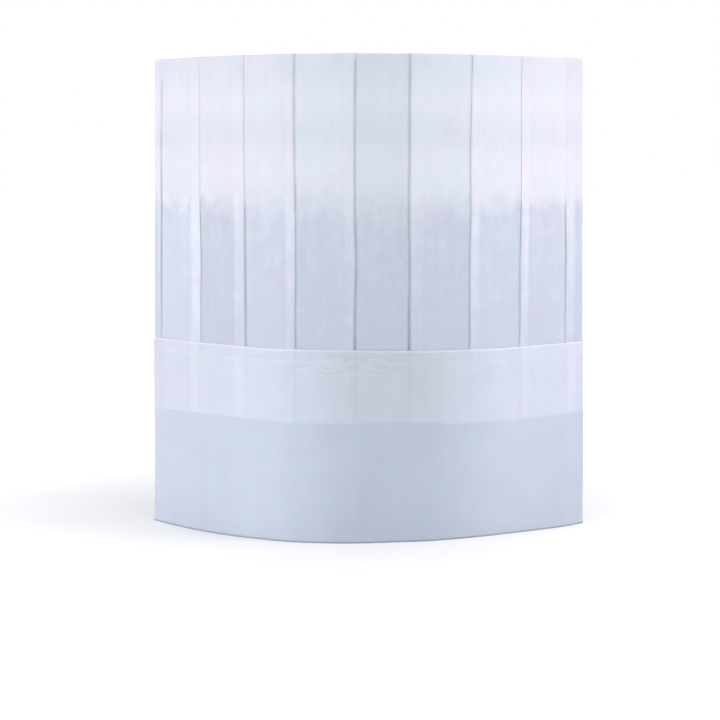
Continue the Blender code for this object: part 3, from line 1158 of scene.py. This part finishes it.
def crown_whiteness(tree, turned, fibre, uneven_patterns):
    """The sum of all that makes a place on the crown look whiter or greyer."""
    whiter = add_node(tree, "Math", {0: turned, 1: TURNED_WHITER}, operation="MULTIPLY")
    strip = add_node(tree, "Attribute", out="Fac", attribute_name="strip")
    shown = add_node(tree, "Math", {0: turned, 1: -STRIP_COVERED, 2: 1.0},
                     operation="MULTIPLY_ADD")
    strip = add_node(tree, "Math", {0: shown, 1: strip}, operation="MULTIPLY")
    # veil: painted light and shade of the level bands, and the painted rim highlight
    veil = add_node(tree, "Attribute", out="Fac", attribute_name="veil")
    for pattern, share in ((strip, STRIP_WHITER), (veil, 1.0), (fibre, CROWN_FIBRE_WHITER)):
        whiter = add_node(tree, "Math", {0: pattern, 1: share, 2: whiter},
                          operation="MULTIPLY_ADD")
    for pattern, uneven in uneven_patterns:
        share = add_node(tree, "Math",
                         {0: turned, 1: uneven.double - uneven.single, 2: uneven.single},
                         operation="MULTIPLY_ADD")
        whiter = add_node(tree, "Math", {0: pattern, 1: share, 2: whiter},
                          operation="MULTIPLY_ADD")
    return add_node(tree, "Math", {0: whiter, 1: CROWN_WHITER}, operation="ADD", use_clamp=True)


print(f"the turned-in sheet ends {(CAP_HEIGHT - VEIL_EDGE) / MM:.0f} mm below the rim")

# %% The crown's material
PAINTED_SHADE = "#3c4358"


def crown_material():
    """Non-woven paper pressed into pleats: cloudy white, with painted shadow hairlines at the
    folds.
    """
    material, tree = new_material("pleated_nonwoven_paper")
    paper = add_node(tree, "UVMap", uv_map="paper")
    height = add_node(tree, "SeparateXYZ", {0: paper}, out=1)
    fibre = cloudiness(tree, paper, FIBRE, 3.0, 1)
    streak = cloudiness(tree, paper, STREAK, 2.0, 2)
    cloud = cloudiness(tree, paper, CLOUD, 4.0, 3)
    wisp = cloudiness(tree, paper, WISP, 2.0, 5)
    mottle = cloudiness(tree, paper, MOTTLE, 2.0, 6)
    turned = turned_in_share(tree, fibre, wisp, height)
    whiter = crown_whiteness(tree, turned, fibre,
                             ((streak, STREAKED), (cloud, CLOUDED), (mottle, MOTTLED)))
    colour = paper_colour(tree, paper, whiter, CYAN_TINT, 4, TINT_CHANGE)
    # line: painted shadow under each fold's edge
    line = add_node(tree, "Attribute", out="Fac", attribute_name="line")
    colour = add_node(tree, "Mix", {0: line, 6: colour, 7: hex_colour(PAINTED_SHADE)}, out=2,
                      data_type="RGBA")
    relief = add_node(tree, "Math", {0: fibre, 1: cloud}, operation="ADD")
    paper_surface(tree, colour, relief)
    return material


crown.data.materials.append(crown_material())
print("crown:", crown.data.materials[0].name)

# %% [markdown]
# ## The smooth paper of the band
#
# The band is the same paper, but its fibres lie along the strip. It looks whiter down to
# the crown's hidden edge, because two sheets lie there, with the pleats' strips and painted
# line shadows faint behind it. Its upper edge is folded in: a bright line, two layers with a
# painted highlight, runs along the fold, and a finer, broken one where the folded edge ends.
# Its wrinkles get painted light and shade, and its foot a painted contact shadow.

# %% Where the band looks whiter
SOFT_EDGE = 0.8 * MM
FOLD_HIGHLIGHT = (0.6 * MM, 1.4 * MM)
HEM_FOLD = 7.2 * MM
HEM_LINE = (0.1 * MM, 0.9 * MM)
HEM_FADES = 0.6
CRUSH = (5.5 * MM, 1.5 * MM)
BROKEN = (9 * MM, 30 * MM)
UPRIGHT_STREAK = (7 * MM, 60 * MM)
BAND_CLOUD = (15 * MM, 17 * MM)
OVER_CROWN_WHITER = 0.28
BAND_STRIP_WHITER = 0.12


def band_layers(tree):
    """How much of the crown shows through, and the painted shadows of its pleat lines."""
    over_edge = add_node(tree, "Attribute", out="Fac", attribute_name="over_edge")
    over_crown = add_node(tree, "MapRange", {
        "Value": over_edge, "From Min": -SOFT_EDGE, "From Max": SOFT_EDGE,
    }, interpolation_type="SMOOTHSTEP")
    strip = add_node(tree, "Attribute", out="Fac", attribute_name="strip")
    strip = add_node(tree, "Math", {0: strip, 1: BAND_STRIP_WHITER, 2: OVER_CROWN_WHITER},
                     operation="MULTIPLY_ADD")
    whiter = add_node(tree, "Math", {0: strip, 1: over_crown}, operation="MULTIPLY")
    line = add_node(tree, "Attribute", out="Fac", attribute_name="line")
    line = add_node(tree, "Math", {0: line, 1: over_crown}, operation="MULTIPLY")
    return whiter, line


def band_hem(tree, broken, crushed_zone):
    """The fold at the top with its painted highlight, the broken line under it, and the duller
    strip between.
    """
    under_top = add_node(tree, "Attribute", out="Fac", attribute_name="under_top")
    edge = add_node(tree, "MapRange", {
        "Value": under_top, "From Min": FOLD_HIGHLIGHT[1], "From Max": FOLD_HIGHLIGHT[0],
    })
    off_fold = add_node(tree, "Math", {0: under_top, 1: HEM_FOLD}, operation="SUBTRACT")
    off_fold = add_node(tree, "Math", {0: off_fold}, operation="ABSOLUTE")
    hem_line = add_node(tree, "MapRange", {
        "Value": off_fold, "From Min": HEM_LINE[1], "From Max": HEM_LINE[0],
    })
    gaps = add_node(tree, "Math", {0: broken, 1: 0.5, 2: 0.5}, operation="MULTIPLY_ADD")
    hem_line = add_node(tree, "Math", {0: hem_line, 1: gaps}, operation="MULTIPLY")
    folded_in = add_node(tree, "MapRange", {
        "Value": under_top, "From Min": HEM_FOLD, "From Max": HEM_FADES * HEM_FOLD,
    })
    folded_in = add_node(tree, "Math", {0: folded_in, 1: crushed_zone}, operation="MULTIPLY")
    return edge, hem_line, folded_in


print(f"the broken line lies {HEM_FOLD / MM:.1f} mm under the band's top edge")

# %% The band's material
BAND_LINE_WHITER = -0.14
FOLD_HIGHLIGHT_WHITER = 0.46
FOLDED_IN_WHITER = -0.08
HEM_LINE_WHITER = 0.16
WRINKLE_LIGHT_AND_SHADE = 0.22
BAND_FIBRE_WHITER = 0.010
BAND_STREAK_WHITER = 0.025
BAND_CLOUD_WHITER = 0.050
BAND_WHITER = 0.04
FOOT_SHADE = 0.45
FOOT_LINE = (0.3 * MM, 1.4 * MM)


def band_material():
    """The same paper, smooth, with its fibres lying along the strip."""
    material, tree = new_material("smooth_nonwoven_paper")
    paper = add_node(tree, "UVMap", uv_map="paper")
    height = add_node(tree, "SeparateXYZ", {0: paper}, out=1)
    fibre = cloudiness(tree, paper, FIBRE[::-1], 3.0, 5)
    streak = cloudiness(tree, paper, UPRIGHT_STREAK, 2.0, 6)
    cloud = cloudiness(tree, paper, BAND_CLOUD, 3.0, 7)
    crush = cloudiness(tree, paper, CRUSH, 3.0, 9)
    broken = cloudiness(tree, paper, BROKEN, 2.0, 10)
    crushed_zone = add_node(tree, "Attribute", out="Fac", attribute_name="wrinkled")
    # the crushed wrinkles: a bump, and their painted light and shade
    wrinkles = add_node(tree, "Math", {0: crush, 1: crushed_zone}, operation="MULTIPLY")
    whiter, line = band_layers(tree)
    edge, hem_line, folded_in = band_hem(tree, broken, crushed_zone)
    # line: painted shadows of the pleats behind; edge: painted highlight on the fold; wrinkles:
    # painted light and shade
    for pattern, share in (
        (line, BAND_LINE_WHITER),
        (edge, FOLD_HIGHLIGHT_WHITER),
        (folded_in, FOLDED_IN_WHITER),
        (hem_line, HEM_LINE_WHITER),
        (wrinkles, WRINKLE_LIGHT_AND_SHADE),
        (fibre, BAND_FIBRE_WHITER),
        (streak, BAND_STREAK_WHITER),
        (cloud, BAND_CLOUD_WHITER),
    ):
        whiter = add_node(tree, "Math", {0: pattern, 1: share, 2: whiter},
                          operation="MULTIPLY_ADD")
    whiter = add_node(tree, "Math", {0: whiter, 1: BAND_WHITER}, operation="ADD",
                      use_clamp=True)
    colour = paper_colour(tree, paper, whiter, BAND_CYAN, 8, 0.5 * TINT_CHANGE)
    # painted contact shadow along the foot
    painted_foot_shadow = add_node(tree, "MapRange", {
        "Value": height, "From Min": FOOT_LINE[1], "From Max": FOOT_LINE[0],
        "To Min": 0.0, "To Max": FOOT_SHADE,
    }, interpolation_type="SMOOTHSTEP")
    colour = add_node(tree, "Mix", {0: painted_foot_shadow, 6: colour, 7: hex_colour(PAINTED_SHADE)}, out=2,
                      data_type="RGBA")
    relief = add_node(tree, "Math", {0: fibre, 1: wrinkles}, operation="ADD")
    paper_surface(tree, colour, relief)
    return material


band.data.materials.append(band_material())
print("band:", band.data.materials[0].name)

# %% [markdown]
# ## Studio
#
# The cap stands on white acrylic that is lit from below further out, so the ground has no
# horizon. The surround is white to the camera, but it gives its own measured light: bright
# overhead, so the rim and the floor are clear, and dim at eye level, so the paper keeps
# its greys.

# %% The floor
FLOOR_RADIUS = 12.0
FLOOR_WHITE = "#fbfbfb"
FLOOR_ROUGHNESS = 0.9
PURE_WHITE = "#ffffff"
TABLE_GLOW = 0.32
TABLE_GLOW_FROM = 0.06
TABLE_GLOW_FULL = 0.50


def pale_floor():
    """A wide white disc; farther out it is lit from below, so it has no visible horizon."""
    bpy.ops.mesh.primitive_circle_add(vertices=96, radius=FLOOR_RADIUS, fill_type="NGON")
    floor = bpy.context.object
    floor.name = "floor"
    material, tree = new_material("white_acrylic_light_table")
    place = add_node(tree, "TexCoord", out="Object")
    distance = add_node(tree, "VectorMath", {0: place}, out="Value", operation="LENGTH")
    glow = add_node(tree, "MapRange", {
        "Value": distance, "From Min": TABLE_GLOW_FROM, "From Max": TABLE_GLOW_FULL,
        "To Min": 0.0, "To Max": TABLE_GLOW,
    }, interpolation_type="SMOOTHSTEP")
    surface = add_node(tree, "BsdfPrincipled", {
        "Base Color": hex_colour(FLOOR_WHITE), "Roughness": FLOOR_ROUGHNESS,
        "Specular IOR Level": 0.0, "Emission Color": hex_colour(PURE_WHITE),
        "Emission Strength": glow,
    })
    add_node(tree, "OutputMaterial", {"Surface": surface})
    floor.data.materials.append(material)
    return floor


floor = pale_floor()
print(f"floor: {2 * FLOOR_RADIUS:.0f} m across")

# %% The surround
SURROUND_LIGHT = "#fbfdff"
FRONT_GLOW = 0.29
BACK_GLOW = 0.20
GLOW_FROM_FRONT = (-0.8, 0.5)
OVERHEAD_GLOW = 0.90
OVERHEAD_FROM = (0.35, 0.85)


def white_surround():
    """A surround that is bright overhead and dim at eye level in front of the cap."""
    world = bpy.data.worlds.new("white_surround")
    world.use_nodes = True
    tree = world.node_tree
    tree.nodes.clear()
    towards = add_node(tree, "TexCoord", out="Generated")
    level = add_node(tree, "MapRange", {
        "Value": add_node(tree, "SeparateXYZ", {0: towards}, out=1),
        "From Min": GLOW_FROM_FRONT[0], "From Max": GLOW_FROM_FRONT[1],
        "To Min": FRONT_GLOW, "To Max": BACK_GLOW,
    }, interpolation_type="SMOOTHSTEP")
    above = add_node(tree, "MapRange", {
        "Value": add_node(tree, "SeparateXYZ", {0: towards}, out=2),
        "From Min": OVERHEAD_FROM[0], "From Max": OVERHEAD_FROM[1],
        "To Min": 0.0, "To Max": OVERHEAD_GLOW,
    }, interpolation_type="SMOOTHSTEP")
    glow = add_node(tree, "Math", {0: level, 1: above}, operation="ADD")
    lighting = add_node(tree, "Background",
                        {"Color": hex_colour(SURROUND_LIGHT), "Strength": glow})
    backdrop = add_node(tree, "Background", {"Color": hex_colour(PURE_WHITE)})
    seen = add_node(tree, "LightPath", out="Is Camera Ray")
    both = add_node(tree, "MixShader", {0: seen, 1: lighting, 2: backdrop})
    add_node(tree, "OutputWorld", {"Surface": both})
    return world


bpy.context.scene.world = white_surround()
print(f"surround: {FRONT_GLOW} in front, {OVERHEAD_GLOW} overhead")

# %% [markdown]
# Two large soft lights at the sides leave the middle of the front a little darker than its
# flanks. The left one stands low and in front, and the right one higher and nearly beside
# the cap, so the two flanks don't look the same.

# %% The side lights
SIDE_LIGHT = "#fff7f9"
LIGHT_SIZE = 0.5
LIGHT_AIM = (0.0, 0.0, 0.15)
Lamp = namedtuple("Lamp", "name place power")
LAMPS = (
    Lamp("left_soft_light", (-0.84, -0.54, 0.22), 4.65),
    Lamp("right_soft_light", (0.98, -0.16, 0.42), 5.7),
)


def soft_light(name, place, power):
    """A square soft light at a place, turned towards the cap."""
    lamp = bpy.data.lights.new(name, "AREA")
    lamp.size = LIGHT_SIZE
    lamp.energy = power
    lamp.color = hex_colour(SIDE_LIGHT)[:3]
    item = bpy.data.objects.new(name, lamp)
    item.visible_camera = False
    bpy.context.scene.collection.objects.link(item)
    item.location = place
    towards = np.array(LIGHT_AIM) - np.array(place)
    item.rotation_euler = (
        math.atan2(math.hypot(towards[0], towards[1]), -towards[2]),
        0.0,
        math.atan2(towards[1], towards[0]) - math.pi / 2,
    )


for lamp in LAMPS:
    soft_light(*lamp)
    print(lamp.name, lamp.power, "watts")
bpy.context.scene.view_settings.view_transform = "Standard"

# %% [markdown]
# ## Camera
#
# The camera stands a little under a metre away, at four fifths of the cap's height, and
# looks down by 7 degrees. That is near enough for the upper edge to bow up and the lower
# one to bow down, as they do to an eye at that distance.

# %% Camera
CAMERA_DISTANCE = 0.9379
CAMERA_HEIGHT = 0.2201
CAMERA_ORBIT = math.radians(1.574)
CAMERA_PITCH = math.radians(7.30)
CAMERA_HEADING = math.radians(1.854)
LENS_MM = 77.49
SENSOR_MM = 36.0

camera_data = bpy.data.cameras.new("camera")
camera_data.lens = LENS_MM
camera_data.sensor_width = SENSOR_MM
camera = bpy.data.objects.new("camera", camera_data)
bpy.context.scene.collection.objects.link(camera)
camera.location = (CAMERA_DISTANCE * math.sin(CAMERA_ORBIT),
                   -CAMERA_DISTANCE * math.cos(CAMERA_ORBIT), CAMERA_HEIGHT)
camera.rotation_euler = (math.pi / 2 - CAMERA_PITCH, 0.0, CAMERA_HEADING)
bpy.context.scene.camera = camera
print(f"camera {CAMERA_DISTANCE:.2f} m away, {LENS_MM:.0f} mm lens")

# %% [markdown]
# ## Hand the sheets over
#
# Each sheet rides on the cap's one body, stands for the solid that it replaces, and tells
# how large its paper was when it lay flat. The crown's flat width is measured along its
# folds, so it is wider than the girth by all the paper in the pleats.

# %% Hand the sheets over
crown_flat = (crown_places[-1], crown_heights[-1])
band_flat = (band_end - band_start, BAND_HEIGHT)
for item, node, slot, flat in (
    (crown, "pleated_crown", "pleated_paper", crown_flat),
    (band, "head_band", "band_paper", band_flat),
):
    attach(item, "root")
    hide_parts(node)
    print(f"{item.name}: {flat[0] / MM:.0f} x {flat[1] / MM:.0f} mm flat")
